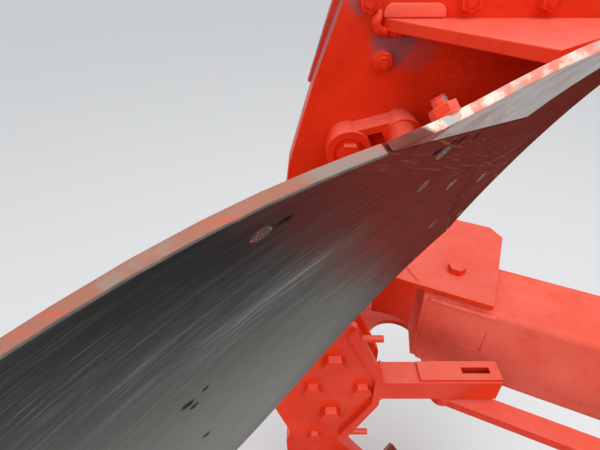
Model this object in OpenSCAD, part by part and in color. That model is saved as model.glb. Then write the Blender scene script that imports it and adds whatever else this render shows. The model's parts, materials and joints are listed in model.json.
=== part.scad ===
// One furrow of a mounted reversible moldboard plough, as it bolts on behind the main beam.
// Travel is along +X, the land side is +Y and up is +Z. The upper body is the lower body mirrored.
// The origin is the middle of the beam flange's front face.

/* [Furrow unit] */
// Height of the beam's centre above the lower cutting edge
cut_drop = 670; // [620:5:740]
// Angle of the beam to the line of travel
beam_angle = 25; // [20:1:30]

/* [Beam] */
// Width of the beam tube
beam_w = 150; // [120:5:160]
// Height of the beam tube
beam_h = 200; // [150:5:210]
// Wall of the beam tube
beam_wall = 10; // [6:1:14]
// Distance from the bracket's pivot forward to the flange
beam_front = 420; // [380:5:520]
// Distance from the bracket's pivot back to the near corner of the beam's closed end
beam_rear = 38; // [36:1:44]
// Turn of the beam's rear end away from square
end_turn = 16; // [8:1:20]
// Rounding of the beam's long edges
beam_round = 14; // [12:1:20]
// Side of the square flange
flange_side = 270; // [260:5:300]
// Thickness of the flange
flange_t = 20; // [12:1:30]
// Bolt circle of the flange's holes
flange_pcd = 290; // [280:2:310]
// Number of holes in the flange
flange_holes = 4; // [4:4:4]
// Radius of a flange hole
flange_hole_r = 12; // [8:0.5:14]

/* [Leg bracket] */
// Distance of the pivot ahead of the zero line
pivot_x = 325; // [300:5:360]
// Distance of the pivot on the land side of the land plane
pivot_y = 136; // [125:1:160]
// Radius of the pivot bolt
pivot_r = 15; // [12:0.5:18]
// Thickness of the bracket's top and bottom plates
plate_t = 12; // [8:1:16]
// Gap between the beam and the bracket's plates, filled by the thrust collar at the pivot
plate_gap = 6; // [5:0.5:10]
// Thickness of the two side plates that clasp the legs
cheek_t = 12; // [8:1:16]
// Clearance between a leg and a side plate, filled by the bosses at its bolts
cheek_gap = 5.5; // [5:0.5:8]
// Height of a leg's pivot bolt above or below the beam's centre
leg_pin_z = 80; // [70:1:90]
// Radius of a leg's pivot bolt
leg_pin_r = 12; // [10:0.5:14]
// Radius of a leg's shear bolt
shear_r = 8; // [6:0.5:10]
// Radius of the bolts that clamp the bracket together
clamp_r = 10; // [8:0.5:12]

/* [Width rod] */
// Distance of the rod's rear pin ahead of the zero line
rod_pin_x = 277; // [265:1:285]
// Length of the rod from pin to pin
rod_len = 420; // [360:5:520]
// Width of the rod
rod_w = 40; // [30:1:50]
// Thickness of the rod
rod_t = 20; // [16:1:26]
// Radius of the rod's pins
rod_pin_r = 10; // [8:0.5:12]

/* [Leg] */
// Thickness of the leg plate
leg_t = 30; // [25:1:35]
// Radius of the leg's rounded end about its pivot bolt
leg_end_r = 45; // [40:1:50]
// Height of the frog's lower edge above the cutting edge
frog_h = 12; // [8:1:20]

/* [Moldboard surface] */
// Angle of the working surface to travel at the share
angle_share = 37.2; // [35:0.2:40]
// Angle of the working surface to travel at the top
angle_top = 48; // [45:0.5:50]
// Height at which the surface stands upright
board_ref = 460; // [440:5:500]
// Place of the leading edge at the top, behind the zero line
shin_top = -184; // [-200:1:-170]
// How far the leading edge runs forward from the top to the share
shin_run = 266; // [240:1:290]
// How strongly the leading edge curves
shin_power = 1.34; // [1.2:0.02:1.6]
// Extra run of the flatter share
toe_run = 130; // [110:1:150]
// Height over which the share turns up into the board
toe_h = 45; // [40:1:60]

/* [Moldboard outline] */
// Thickness of the moldboard and the shin
board_t = 8; // [6:0.5:11]
// Height of the leading edge, where the shin ends
shin_h = 346; // [330:1:362]
// Height of the board's lower edge at the share's wing
wing_h = 64; // [58:1:72]
// Width of the share to its wing
wing_w = 310; // [290:1:330]
// Rise of the share joint from the wing to the land side
joint_rise = 85; // [70:1:95]
// Rise of the upper edge from the shin to its highest place
top_rise = 98; // [80:1:110]
// Width at which the upper edge is highest
top_run = 300; // [270:5:330]
// Width of the board at its tail
tail_w = 565; // [520:5:600]
// Rounding of the tail's corners
tail_round = 60; // [30:2:90]
// Width of the shin where it meets the share
seam_w = 140; // [125:1:150]

/* [Share and point] */
// Thickness of the share
share_t = 11; // [9:0.5:14]
// Width of the sharpened strip along the share's edge
bevel_h = 22; // [15:1:30]
// Width of the reversible point
point_w = 76; // [60:1:80]
// Thickness of the point
point_t = 16; // [12:1:20]
// Length of the point
point_len = 225; // [205:5:240]
// Slope of the point
point_slope = 25; // [22:1:28]
// Depth of the point's tip below the share's edge
point_drop = 14; // [5:1:20]

/* [Landside] */
// Thickness of the landside
landside_t = 12; // [8:1:14]
// Height of the landside's upper edge
landside_h = 118; // [100:1:125]
// Rear end of the landside, ahead of the zero line
landside_rear = 9; // [0:1:30]
// Height of the landside's lower edge
landside_low = 4; // [2:0.5:8]

/* [Hidden] */

$fn = 48;
fit = 0.05;
seat = 0.3;
joint_gap = 0.8;
back_gap = 0.6;

flange_x = pivot_x + beam_front * cos(beam_angle);
flange_y = pivot_y - beam_front * sin(beam_angle);
plate_z = beam_h / 2 + plate_gap;
leg_w0 = landside_t;
leg_w1 = landside_t + leg_t;
cheek_in0 = leg_w0 - cheek_gap;
cheek_in1 = leg_w1 + cheek_gap;
leg_pin_s = -60;
leg_pin_h = cut_drop - leg_pin_z;
shear_s = -30;
shear_h = leg_pin_h - 86;
shear_z = cut_drop - shear_h;
leg_dir = atan2(shear_h - leg_pin_h, shear_s - leg_pin_s);
boss_r = 30;
clamp_s = [-24, -115];
hex_ratio = 1.75;
head_ratio = 1.25;

red = "#d0301c";
dark_red = "#a82414";
worn = "#5c5a58";
bright = "#8f8f8c";

// Working surface: level straight lines from the leading edge, back and outward

function setback(h) =
    shin_top - shin_run * pow(max(0, 1 - h / board_ref), shin_power) - toe_run * exp(-h / toe_h);
function surface_angle(h) = angle_share + (angle_top - angle_share) * h / board_ref;
function surf(w, h) = [setback(h) + w / tan(surface_angle(h)), w, h];
function unit(v) = v / norm(v);
function normal(w, h) =
    -unit(cross([1 / tan(surface_angle(h)), 1, 0], (surf(w, h + 1) - surf(w, h - 1)) / 2));
function behind(w, h, t) = surf(w, h) - t * normal(w, h);
// Place straight back of a surface point where the layer of this thickness behind it ends
function clear_of(w, h, t) = surf(w, h)[0] + t / abs(normal(w, h)[0]);

// Outline of the board, in width and height

low_turn = wing_w + 30;
low_bend = 60;
low_curve = 0.0053;
top_fall = 0.0002;
seam_power = 1.7;
function joint_h(w) = wing_h + joint_rise * (1 - w / wing_w);
function low_rise(w) = let(past = max(0, w - low_turn), bent = min(past, low_bend))
    low_curve * bent * (2 * past - bent);
function low_h(w) = w < wing_w ? joint_h(w) : wing_h + low_rise(w);
function top_h(w) = shin_h + top_rise * (1 - cos(180 * min(1, w / top_run))) / 2
    - top_fall * pow(max(0, w - top_run), 2);
joint_at_seam = joint_h(seam_w);
share_lead_w = point_w - 2;
function seam(h) = h < joint_at_seam
    ? share_lead_w + (seam_w - share_lead_w) * h / joint_at_seam
    : seam_w * (1 - pow(min(1, (h - joint_at_seam) / (shin_h - joint_at_seam)), seam_power));

function mix(a, b, t) = a * (1 - t) + b * t;
function tail(v) = let(w = tail_w - tail_round * pow(abs(2 * v - 1), 4))
    [w, mix(low_h(w), top_h(w), v)];

// A patch between four edge curves, each given from 0 to 1
function patch(u, v, low, high, left, right) =
    mix(low, high, v) + mix(left, right, u)
    - mix(mix(board_low(0), board_low(1), u), mix(board_high(0), board_high(1), u), v);

function board_low(u) = let(w = mix(seam_w + joint_gap, tail_w - tail_round, u)) [w, low_h(w) + joint_gap];
function board_high(u) = let(w = mix(joint_gap, tail_w - tail_round, u)) [w, top_h(w)];
function board_lead(v) = let(h = mix(joint_at_seam + joint_gap, shin_h, v)) [seam(h) + joint_gap, h];
function board_tail(v) = let(p = tail(v)) [p[0], p[1] + joint_gap * (1 - v)];
function board_point(u, v) = patch(u, v, board_low(u), board_high(u), board_lead(v), board_tail(v));

// A closed shell on the working surface: each grid point holds width, height and its two depths
function shell_faces(m, n) = let(back = m * n) concat(
    [for (i = [0 : m - 2], j = [0 : n - 2]) let(a = i * n + j) each
        [[a, a + 1, a + n], [a + 1, a + n + 1, a + n]]],
    [for (i = [0 : m - 2], j = [0 : n - 2]) let(a = back + i * n + j) each
        [[a, a + n, a + 1], [a + 1, a + n, a + n + 1]]],
    [for (j = [0 : n - 2]) let(a = j, b = back + j) each [[a, b, a + 1], [a + 1, b, b + 1]]],
    [for (j = [0 : n - 2]) let(a = (m - 1) * n + j, b = back + a) each [[a, a + 1, b], [a + 1, b + 1, b]]],
    [for (i = [0 : m - 2]) let(a = i * n, b = back + a) each [[a, a + n, b], [a + n, b + n, b]]],
    [for (i = [0 : m - 2]) let(a = i * n + n - 1, b = back + a) each [[a, b, a + n], [a + n, b, b + n]]]
);

module shell(grid) {
    m = len(grid);
    n = len(grid[0]);
    front = [for (row = grid, p = row) behind(p[0], p[1], p[2])];
    rear = [for (row = grid, p = row) behind(p[0], p[1], p[3])];
    polyhedron(points = concat(front, rear), faces = shell_faces(m, n), convexity = 6);
}

// Frames: a body is drawn with x back from the zero line, y outward and z up from the cutting edge

module to_row() {
    translate([-flange_x, -flange_y, 0]) children();
}

module body() {
    translate([0, 0, -cut_drop]) rotate([0, 0, 180]) children();
}

module lower() {
    to_row() body() children();
}

module upper() {
    to_row() mirror([0, 0, 1]) body() children();
}

module along_beam() {
    to_row() translate([pivot_x, pivot_y, 0]) rotate([0, 0, -beam_angle]) children();
}

// Turns a drawing in travel and height into a plate between two widths
module slab(w0, w1) {
    translate([0, w1, 0]) rotate([90, 0, 0]) linear_extrude(w1 - w0) children();
}

module bolt_across(s, h, r, w0, w1) {
    translate([s, w0, h]) rotate([-90, 0, 0]) cylinder(h = w1 - w0, r = r);
}

module hex_across(s, h, r, w0, w1) {
    translate([s, w0, h]) rotate([-90, 0, 0]) cylinder(h = w1 - w0, r = r, $fn = 6);
}

// Beam

bush_r = pivot_r + 10;
collar_r = pivot_r + 25;
cap_t = 8;
pivot_head = 14;
round_steps = 4;
end_reach = beam_rear + beam_w * tan(end_turn) + 2 * cap_t;
// Shallow recess in the beam's near face
recess_x = 40;
recess_z = -12;
recess_len = 44;
recess_h = 60;
recess_depth = 1.5;

// Outline of a tube with rounded corners
function rounded(w, h, r) = [
    for (c = [[1, 1, 0], [-1, 1, 90], [-1, -1, 180], [1, -1, 270]], i = [0 : round_steps])
        let(a = c[2] + 90 * i / round_steps)
            [c[0] * (w / 2 - r) + r * cos(a), c[1] * (h / 2 - r) + r * sin(a)]
];

module beam_length(x0, x1, inset) {
    translate([x0, 0, 0]) rotate([90, 0, 90]) linear_extrude(x1 - x0)
        polygon(rounded(beam_w - 2 * inset, beam_h - 2 * inset, beam_round - inset));
}

// Slab of this thickness behind the beam's slanted rear end
module end_slab(t) {
    translate([-beam_rear, -beam_w / 2, -beam_h]) rotate([0, 0, end_turn]) translate([-t, -beam_w, 0])
        cube([t, 3 * beam_w, 2 * beam_h]);
}

module beam_tube() {
    color(red) along_beam() difference() {
        beam_length(-end_reach, beam_front - flange_t, 0);
        beam_length(-end_reach - 1, beam_front, beam_wall);
        translate([0, 0, -beam_h]) cylinder(h = 2 * beam_h, r = bush_r);
        end_slab(2 * end_reach);
        translate([recess_x, -beam_w / 2 - 1, recess_z]) cube([recess_len, recess_depth + 1, recess_h]);
    }
}

module beam_flange() {
    color(red) along_beam() translate([beam_front - flange_t, 0, 0]) rotate([0, 90, 0])
        linear_extrude(flange_t) difference() {
            square(flange_side, center = true);
            for (i = [0 : flange_holes - 1])
                rotate(360 / flange_holes * (i + 0.5)) translate([flange_pcd / 2, 0]) circle(flange_hole_r);
        }
}

module beam_end_cap() {
    color(dark_red) along_beam() intersection() {
        beam_length(-end_reach, beam_front, 0);
        end_slab(cap_t);
    }
}

module pivot_bush() {
    color(dark_red) along_beam() difference() {
        union() {
            translate([0, 0, -plate_z + fit]) cylinder(h = 2 * (plate_z - fit), r = bush_r);
            for (z = [-plate_z + fit, beam_h / 2])
                translate([0, 0, z]) cylinder(h = plate_gap - fit, r = collar_r);
        }
        translate([0, 0, -plate_z]) cylinder(h = 2 * plate_z, r = pivot_r + fit);
    }
}

module pivot_bolt() {
    color(dark_red) along_beam() {
        translate([0, 0, -plate_z - plate_t - 1]) cylinder(h = 2 * (plate_z + plate_t + 1), r = pivot_r);
        for (z = [plate_z + plate_t + 0.1, -plate_z - plate_t - 0.1 - pivot_head])
            translate([0, 0, z]) cylinder(h = pivot_head, r = pivot_r + 3, $fn = 6);
    }
}

// Bracket that carries both legs and turns on the pivot bolt

cheek_half_h = 186;
function cheek_outline(back, front) = [
    [-front, -40], [-front, 40], [-94, cheek_half_h - 18], [-70, cheek_half_h],
    [10, cheek_half_h], [back, 60], [back, -60], [10, -cheek_half_h],
    [-70, -cheek_half_h], [-94, -cheek_half_h + 18]
];
cheek_back = 51;
cheek_front = 150;

module mid() {
    to_row() rotate([0, 0, 180]) children();
}

module bolt_holes(r_fit) {
    for (s = clamp_s) translate([s, 0]) circle(clamp_r + r_fit);
    for (side = [-1, 1]) {
        translate([leg_pin_s, side * leg_pin_z]) circle(leg_pin_r + r_fit);
        translate([shear_s, side * shear_z]) circle(shear_r + r_fit);
    }
}

module cheek(w0, w1) {
    slab(w0, w1) difference() {
        polygon(cheek_outline(cheek_back, cheek_front));
        bolt_holes(fit);
    }
}

module bosses(w0, w1) {
    slab(w0, w1) for (side = [-1, 1]) difference() {
        union() {
            translate([leg_pin_s, side * leg_pin_z]) circle(boss_r);
            translate([shear_s, side * shear_z]) circle(boss_r - 10);
        }
        bolt_holes(fit);
    }
}

module cheek_near() {
    color(red) mid() {
        cheek(cheek_in1, cheek_in1 + cheek_t);
        bosses(cheek_in1 - cheek_gap + seat, cheek_in1);
        slab(cheek_in1 + cheek_t, cheek_in1 + cheek_t + rim_t)
            polygon([
                [-cheek_front, -40],
                [-cheek_front, 40],
                [-94, cheek_half_h - 18],
                [-94 + rim_w, cheek_half_h - 18 - rim_w],
                [-cheek_front + rim_w, 36],
                [-cheek_front + rim_w, -36],
                [-94 + rim_w, -cheek_half_h + 18 + rim_w],
                [-94, -cheek_half_h + 18]
            ]);
        for (side = [-1, 1])
            translate([-stop_x, cheek_in1 + cheek_t + rim_t / 2 - 1, side * stop_z]) rotate([0, 90, 0])
                cylinder(h = stop_len, r = stop_r);
    }
}

rim_t = 10;
rim_w = 14;
// Stop screws in the near side plate's front flange
stop_x = 138;
stop_z = 147;
stop_len = 36;
stop_r = 6;

module cheek_far() {
    color(red) mid() {
        cheek(cheek_in0 - cheek_t, cheek_in0);
        bosses(cheek_in0, cheek_in0 + cheek_gap - seat);
    }
}

module cheek_spacers() {
    color(dark_red) mid() slab(cheek_in0 + fit, cheek_in1 - fit)
        for (s = clamp_s) translate([s, 0]) difference() {
            circle(clamp_r + 10);
            circle(clamp_r + fit);
        }
}

module bolt_set(s, z, r) {
    bolt_across(s, z, r, cheek_in0 - cheek_t - r * head_ratio, cheek_in1 + cheek_t + r * head_ratio);
    hex_across(s, z, r * hex_ratio, cheek_in0 - cheek_t - r * head_ratio, cheek_in0 - cheek_t - fit);
    hex_across(s, z, r * hex_ratio, cheek_in1 + cheek_t + fit, cheek_in1 + cheek_t + r * head_ratio);
}

module clamp_bolts() {
    color(dark_red) mid() {
        for (s = clamp_s) bolt_set(s, 0, clamp_r);
        for (side = [-1, 1]) difference() {
            bolt_set(shear_s, side * shear_z, shear_r);
            translate([shear_s - boss_r, leg_w0 - fit, side * shear_z - boss_r])
                cube([2 * boss_r, leg_t + 2 * fit, 2 * boss_r]);
        }
    }
}

module leg_bolts() {
    color(dark_red) mid() for (side = [-1, 1]) bolt_set(leg_pin_s, side * leg_pin_z, leg_pin_r);
}

// Top and bottom plate in plan: wide at the beam's end, then back and across to the far side plate
ahead = 80;
half_w = 74;
far_w = 190;
function beam_plan(x, y) = [
    pivot_x + x * cos(beam_angle) + y * sin(beam_angle),
    pivot_y - x * sin(beam_angle) + y * cos(beam_angle)
];
neck_near = 150;
cheek_y = cheek_t - cheek_in0;

module bracket_plate() {
    difference() {
        polygon([
            beam_plan(ahead, -half_w), beam_plan(ahead, far_w - 30), beam_plan(ahead - 30, far_w),
            beam_plan(-60, far_w), beam_plan(-neck_near, half_w + 60),
            [-20, cheek_y + 105], [-30, cheek_y], [80, cheek_y], [90, cheek_y + 60],
            beam_plan(-neck_near, -half_w)
        ]);
        translate([pivot_x, pivot_y]) circle(pivot_r + fit);
    }
}

// Side web under the top plate's near edge, arched at its lower end
side_web_t = 10;
side_web_end = -64;
side_web_low = -10;
arch_x = -110;
arch_z = -126;
arch_r = 130;
module side_web() {
    along_beam() translate([0, side_web_t - half_w + 2, 0]) rotate([90, 0, 0]) linear_extrude(side_web_t)
        difference() {
            translate([-neck_near, side_web_low])
                square([neck_near + side_web_end, plate_z + 1 - side_web_low]);
            translate([arch_x, arch_z]) circle(arch_r);
        }
}

module bracket_top() {
    color(red) {
        to_row() translate([0, 0, plate_z]) linear_extrude(plate_t) bracket_plate();
        side_web();
    }
}

// The bottom plate has a wide notch beside the beam's end
notch = [222, 140];
notch_r = 58;
module bracket_bottom() {
    color(red) to_row() translate([0, 0, -plate_z - plate_t]) linear_extrude(plate_t) difference() {
        bracket_plate();
        translate(notch) circle(notch_r);
        polygon([
            notch - [notch_r, 0],
            notch + [notch_r, 0],
            notch + [notch_r, -2 * notch_r],
            notch - [notch_r, 2 * notch_r]
        ]);
    }
}

// Upright web behind the beam's end, joined to both plates and the far side plate
web_t = 12;
web_len = 100;
web_x = -14;
module bracket_web() {
    color(dark_red) to_row() translate([web_x, cheek_y, -plate_z]) cube([web_t, web_len, 2 * plate_z]);
}

// Arm that runs forward from the near side plate and carries the rod's pin
arm_h = 50;
arm_w = 46;
arm_end = 370;
arm_w0 = cheek_in1 + cheek_t - arm_w + 6;
rod_pin_w = arm_w0 + arm_w / 2;

// Doubler on the arm, with an adjusting slot through both
doubler_t = 6;
doubler_rear = 220;
slot_from = 300;
slot_to = 352;
slot_w = 13;
pin_cover = 5;

module rod_arm() {
    color(red) mid() difference() {
        union() {
            slab(arm_w0, arm_w0 + arm_w)
                translate([-arm_end, -arm_h / 2]) square([arm_end - cheek_front - seat, arm_h]);
            slab(arm_w0 + 3, arm_w0 + arm_w - 3)
                translate([-arm_end, arm_h / 2 - 1]) square([arm_end - doubler_rear, doubler_t + 1]);
        }
        translate([-rod_pin_x, rod_pin_w, -arm_h]) cylinder(h = 1.5 * arm_h - pin_cover, r = rod_pin_r + fit);
        translate([-slot_to, rod_pin_w - slot_w / 2, -arm_h]) cube([slot_to - slot_from, slot_w, 2 * arm_h]);
    }
}

rod_top = -arm_h / 2 - 5;
module rod_pin() {
    color(dark_red) mid() translate([-rod_pin_x, rod_pin_w, 0]) {
        translate([0, 0, rod_top - rod_t - 8])
            cylinder(h = arm_h / 2 - pin_cover - fit - rod_top + rod_t + 8, r = rod_pin_r);
        translate([0, 0, rod_top - rod_t - 10]) cylinder(h = 9.9, r = rod_pin_r * hex_ratio, $fn = 6);
        translate([0, 0, rod_top + fit]) cylinder(h = 4.9, r = rod_pin_r * 1.7);
    }
}

module width_rod() {
    color(red) mid() translate([-rod_pin_x, rod_pin_w, rod_top - rod_t]) rotate([0, 0, 180 - beam_angle])
        linear_extrude(rod_t) difference() {
            union() {
                circle(rod_w / 2 + 4);
                translate([0, -rod_w / 2]) square([rod_len, rod_w]);
                translate([rod_len, 0]) circle(rod_w / 2 + 4);
            }
            circle(rod_pin_r + fit);
            translate([rod_len, 0]) circle(rod_pin_r + fit);
        }
}

// Leg with its frog, one thick plate

frog_t = 10;
function leg_front(h) = clear_of(leg_w1, h, frog_seat(leg_w1, h) + frog_t + seat) + 1;
function leg_round(turn) = leg_end_r * [cos(leg_dir + turn), sin(leg_dir + turn)];
leg_rear = [[30, 440], [28, 330], [14, 210], [-15, 108], [-48, frog_h]];
leg_throat = [[-115, 400], [-86, 440]];
nose_rear_s = -320;
nose_tip_s = -400;

module leg() {
    color(red) slab(leg_w0, leg_w1) difference() {
        polygon(concat(
            [for (turn = [270 : -15 : 90]) [leg_pin_s, leg_pin_h] + leg_round(turn)],
            [[shear_s, shear_h] + leg_round(90)],
            leg_rear,
            [[nose_tip_s, frog_h - 2]],
            [for (s = [nose_tip_s, nose_rear_s]) [s, under_point(s, leg_w1)]],
            [for (h = [110 : 25 : shin_h - 15]) [leg_front(h), h]],
            leg_throat,
            [[shear_s, shear_h] + leg_round(270)]
        ));
        translate([leg_pin_s, leg_pin_h]) circle(leg_pin_r + fit);
        translate([shear_s, shear_h]) circle(shear_r + fit);
    }
}

module shear_core() {
    color(bright) bolt_across(shear_s, shear_h, shear_r, leg_w0, leg_w1);
}

// Curved flange of the frog, which the shin, the share and the board bolt on
frog_rows = 12;
frog_w0 = leg_w0 + 15;
frog_high = shin_h - 20;
function frog_low(w) = 109 - 0.25 * w;
function frog_seat(w, h) = (h < joint_h(w) + 12 ? share_t : board_t) + back_gap;
module frog() {
    color(dark_red) shell([for (i = [0 : frog_rows]) let(v = i / frog_rows)
        [for (w = [frog_w0, frog_w0 + 30, mix(150, 90, v)]) let(h = mix(frog_low(w), frog_high, v))
            [w, h, frog_seat(w, h), frog_seat(w, h) + frog_t]]]);
}

module sole() {
    color(red) translate([0, 0, sole_h - sole_t]) linear_extrude(sole_t) polygon(concat(
        [[-84, leg_w1 + seat]],
        [for (w = [175, 110, 75]) [clear_of(w, sole_h, share_t + back_gap), w]],
        [[nose_rear_s - 2, 66], [nose_rear_s - 2, leg_w1 + seat]]
    ));
}
sole_h = 55;
sole_t = 12;

// Cast bracket between the leg and the board: a bolted lobe, an open pocket and the arm to the board
pad_t = 14;
pad_w = [185, 210, 235];
pad_h = [110, 130, 150, 170];
cast_w0 = leg_w1 + seat;
cast_t = 34;
lobe_bolt = [-57, 180];
lobe_arm = [-116, 160];
lobe_bolt_r = 27;
lobe_arm_r = 22;
function beside(p, out) = [p[0] + 0.45 * out, p[1] - out];
module board_bracket() {
    color(red) {
        difference() {
            union() {
                bolt_across(lobe_bolt[0], lobe_bolt[1], lobe_bolt_r, cast_w0, cast_w0 + cast_t);
                bolt_across(lobe_arm[0], lobe_arm[1], lobe_arm_r, cast_w0, cast_w0 + cast_t);
                slab(cast_w0, cast_w0 + cast_t - 4) polygon([
                    beside(lobe_bolt, -22), beside(lobe_arm, -18), beside(lobe_arm, 18), beside(lobe_bolt, 22)
                ]);
            }
            slab(cast_w0 + cast_t - 22, cast_w0 + 2 * cast_t) polygon([
                mix(beside(lobe_bolt, -14), beside(lobe_arm, -11), 0.42),
                mix(beside(lobe_bolt, -14), beside(lobe_arm, -11), 0.68),
                mix(beside(lobe_bolt, 14), beside(lobe_arm, 11), 0.68),
                mix(beside(lobe_bolt, 14), beside(lobe_arm, 11), 0.42)
            ]);
            bolt_across(
                lobe_bolt[0], lobe_bolt[1], lobe_bolt_r - 8, cast_w0 + cast_t - 3, cast_w0 + 2 * cast_t);
        }
        hex_across(lobe_bolt[0], lobe_bolt[1], lobe_bolt_r - 13, cast_w0 + cast_t - 4, cast_w0 + cast_t + 7);
        shell([for (h = pad_h) [for (w = pad_w) [w, h, board_t + back_gap, board_t + back_gap + pad_t]]]);
        hull() {
            translate([lobe_arm[0], cast_w0 + cast_t - 12, lobe_arm[1]]) sphere(17, $fn = 24);
            translate(behind(pad_w[1], 140, board_t + back_gap + 18)) sphere(14, $fn = 24);
        }
    }
}

// Stay between the leg and the board's tail
stay_w = [400, 425, 450];
stay_h = [230, 255, 280];
stay_foot = [0, 300];
stay_r = 13;
module stay() {
    color(red) {
        shell([for (h = stay_h) [for (w = stay_w) [w, h, board_t + back_gap, board_t + back_gap + pad_t]]]);
        hull() {
            translate(behind(stay_w[1], stay_h[1], board_t + back_gap + stay_r + 3)) sphere(stay_r, $fn = 24);
            translate([stay_foot[0], leg_w1 + stay_r + 3, stay_foot[1]]) sphere(stay_r, $fn = 24);
        }
        bolt_across(stay_foot[0], stay_foot[1], 22, leg_w1 + seat, leg_w1 + 20);
    }
}

board_cols = 22;
board_rows = 14;
module moldboard() {
    color(worn) shell([for (j = [0 : board_rows]) [for (i = [0 : board_cols])
        let(p = board_point(i / board_cols, j / board_rows)) [p[0], p[1], 0, board_t]]]);
}

shin_rows = 14;
shin_cols = 3;
shin_low_land = 104;
shin_low_seam = 54;
module shin() {
    color(worn) shell([for (j = [0 : shin_rows])
        let(
            v = j / shin_rows,
            land_h = mix(shin_low_land, shin_h - 4, v),
            seam_h = mix(shin_low_seam, shin_h - 4, v)
        )
        [for (i = [0 : shin_cols]) let(u = i / shin_cols)
            [seam(seam_h) * u, mix(land_h, seam_h, u), 0, board_t]]]);
}

share_rows = 8;
share_cols = 8;
share_edge_t = 2;
// The wing is cut back below the joint and ground thinner toward its end
wing_step = 4;
wing_cut = 52;
wing_thin = 0.4;
function wing_end(v) = wing_w - wing_step - wing_cut * (1 - pow(v, 5));
function share_depth(h, along) =
    mix(share_edge_t, share_t, min(1, h / bevel_h)) * (1 - wing_thin * pow(along, 4));
module share() {
    color(worn) shell([for (j = [0 : share_rows]) [for (i = [0 : share_cols])
        let(
            v = j / share_rows,
            w0 = seam(v * joint_h(mix(share_lead_w, seam_w, v))) + joint_gap,
            w = mix(w0, wing_end(v), i / share_cols),
            h = v * (joint_h(w) - joint_gap)
        )
        [w, h, 0, share_depth(h, i / share_cols)]]]);
}

// Reversible point: a flat bar that lies in the surface at its reference height
point_ref_h = 45;
point_back = 60;
point_along = [cos(point_slope), 0, sin(point_slope)];
point_up = -unit(cross([1 / tan(surface_angle(point_ref_h)), 1, 0], point_along));
point_across = cross(point_up, point_along);
point_at = surf(point_w / 2, point_ref_h);
// Height just under the point's lower face
function under_point(s, w) = point_at[2]
    - (point_t + seat + point_up[1] * (w - point_at[1]) + point_up[0] * (s - point_at[0])) / point_up[2];
module point() {
    color(worn) difference() {
        multmatrix([for (i = [0 : 2]) [point_along[i], point_across[i], point_up[i], point_at[i]]])
            rotate([90, 0, 0]) translate([0, 0, -point_w / 2]) linear_extrude(point_w) polygon([
                [point_back, 0], [point_back, -point_t], [point_back - point_len + 55, -point_t],
                [point_back - point_len, -2], [point_back - point_len, 0]
            ]);
        translate([point_at[0] - 2 * point_len, -point_w, -point_drop - point_w])
            cube([4 * point_len, 3 * point_w, point_w]);
    }
}

landside_front = 330;
landside_nose = 15;
landside_nose_h = 50;
landside_cut = 34;
module landside() {
    color(bright) slab(0, landside_t) polygon([
        [-landside_rear, landside_h], [-landside_rear - landside_cut, landside_low],
        [-landside_front, landside_low], [-landside_front - landside_nose, landside_nose_h],
        [-landside_front, landside_h]
    ]);
}

beam_tube();
beam_flange();
beam_end_cap();
pivot_bush();
pivot_bolt();
bracket_top();
bracket_bottom();
bracket_web();
cheek_near();
cheek_far();
cheek_spacers();
clamp_bolts();
leg_bolts();
rod_arm();
rod_pin();
width_rod();
upper() leg();  // upper_leg
upper() frog();  // upper_frog
upper() sole();  // upper_sole
upper() board_bracket();  // upper_board_bracket
upper() moldboard();  // upper_moldboard
upper() shin();  // upper_shin
upper() share();  // upper_share
upper() point();  // upper_point
upper() landside();  // upper_landside
upper() stay();  // upper_stay
upper() shear_core();  // upper_shear_core
lower() leg();  // lower_leg
lower() frog();  // lower_frog
lower() sole();  // lower_sole
lower() board_bracket();  // lower_board_bracket
lower() moldboard();  // lower_moldboard
lower() shin();  // lower_shin
lower() share();  // lower_share
lower() point();  // lower_point
lower() landside();  // lower_landside
lower() stay();  // lower_stay
lower() shear_core();  // lower_shear_core
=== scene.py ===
"""Looks of a reversible plough's furrow unit: brushed paint, worn board steel, welds and fasteners"""

import json
import math

import bmesh
import bpy
from mathutils import Matrix, Vector

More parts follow.
